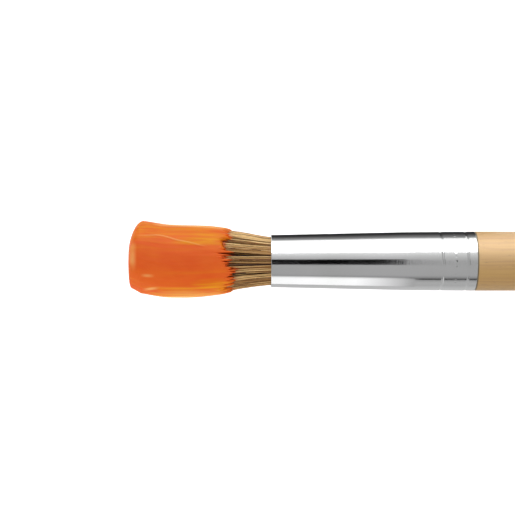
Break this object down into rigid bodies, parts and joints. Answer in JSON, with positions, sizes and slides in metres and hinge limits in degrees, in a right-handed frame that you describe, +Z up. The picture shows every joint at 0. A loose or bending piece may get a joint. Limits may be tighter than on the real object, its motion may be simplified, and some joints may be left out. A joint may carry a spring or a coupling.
{
  "type": "paint brush",
  "caption": "Round bristle brush with a blunt paint-loaded tuft, a tapered crimped metal ferrule and a plain turned wooden handle.",
  "frame": {"origin": "middle of the brush's length, on the surface it lies on, under the middle of its width", "axes": "+X along the brush from the tuft to the end of the handle, +Z up from the surface, +Y across the brush, towards the side where the tip bulges"},
  "size_m": [0.2, 0.0169, 0.013],
  "materials": {
    "lacquered_wood": "clear gloss lacquer",
    "ferrule_metal": "bright, lightly scratched",
    "bristle": "natural hog bristle",
    "hidden_bristle": "natural hog bristle, in shade",
    "thread": "plain cotton thread",
    "paint": "wet gloss",
    "resin": "set resin",
    "glue": "dried glue"
  },
  "bodies": {
    "stick": {"handle": "lacquered_wood", "ferrule": "ferrule_metal", "tang_glue": "glue", "root_resin": "resin", "binding_thread": "thread", "hair_root": "hidden_bristle"},
    "tuft": {"bristle_core": "hidden_bristle", "paint_coat": "paint", "bristle_lock_01": "bristle", "bristle_lock_02": "bristle", "bristle_lock_03": "bristle", "bristle_lock_04": "bristle", "bristle_lock_05": "bristle", "bristle_lock_06": "bristle", "bristle_lock_07": "bristle", "bristle_lock_08": "bristle", "bristle_lock_09": "bristle", "bristle_lock_10": "bristle", "bristle_lock_11": "bristle", "bristle_lock_12": "bristle", "bristle_lock_13": "bristle", "bristle_lock_14": "bristle"}
  },
  "joints": [
    {"name": "tuft_flex", "type": "hinge", "parent": "stick", "child": "tuft", "pos_m": [-0.0688, 0, 0.0065], "axis": [0, 0, 1], "range_deg": [-30, 30], "stiffness_Nm_per_rad": 0.09, "deforming": ["bristle_core", "bristle_lock_01", "bristle_lock_02", "bristle_lock_03", "bristle_lock_04", "bristle_lock_05", "bristle_lock_06", "bristle_lock_07", "bristle_lock_08", "bristle_lock_09", "bristle_lock_10", "bristle_lock_11", "bristle_lock_12", "bristle_lock_13", "bristle_lock_14"]}
  ]
}
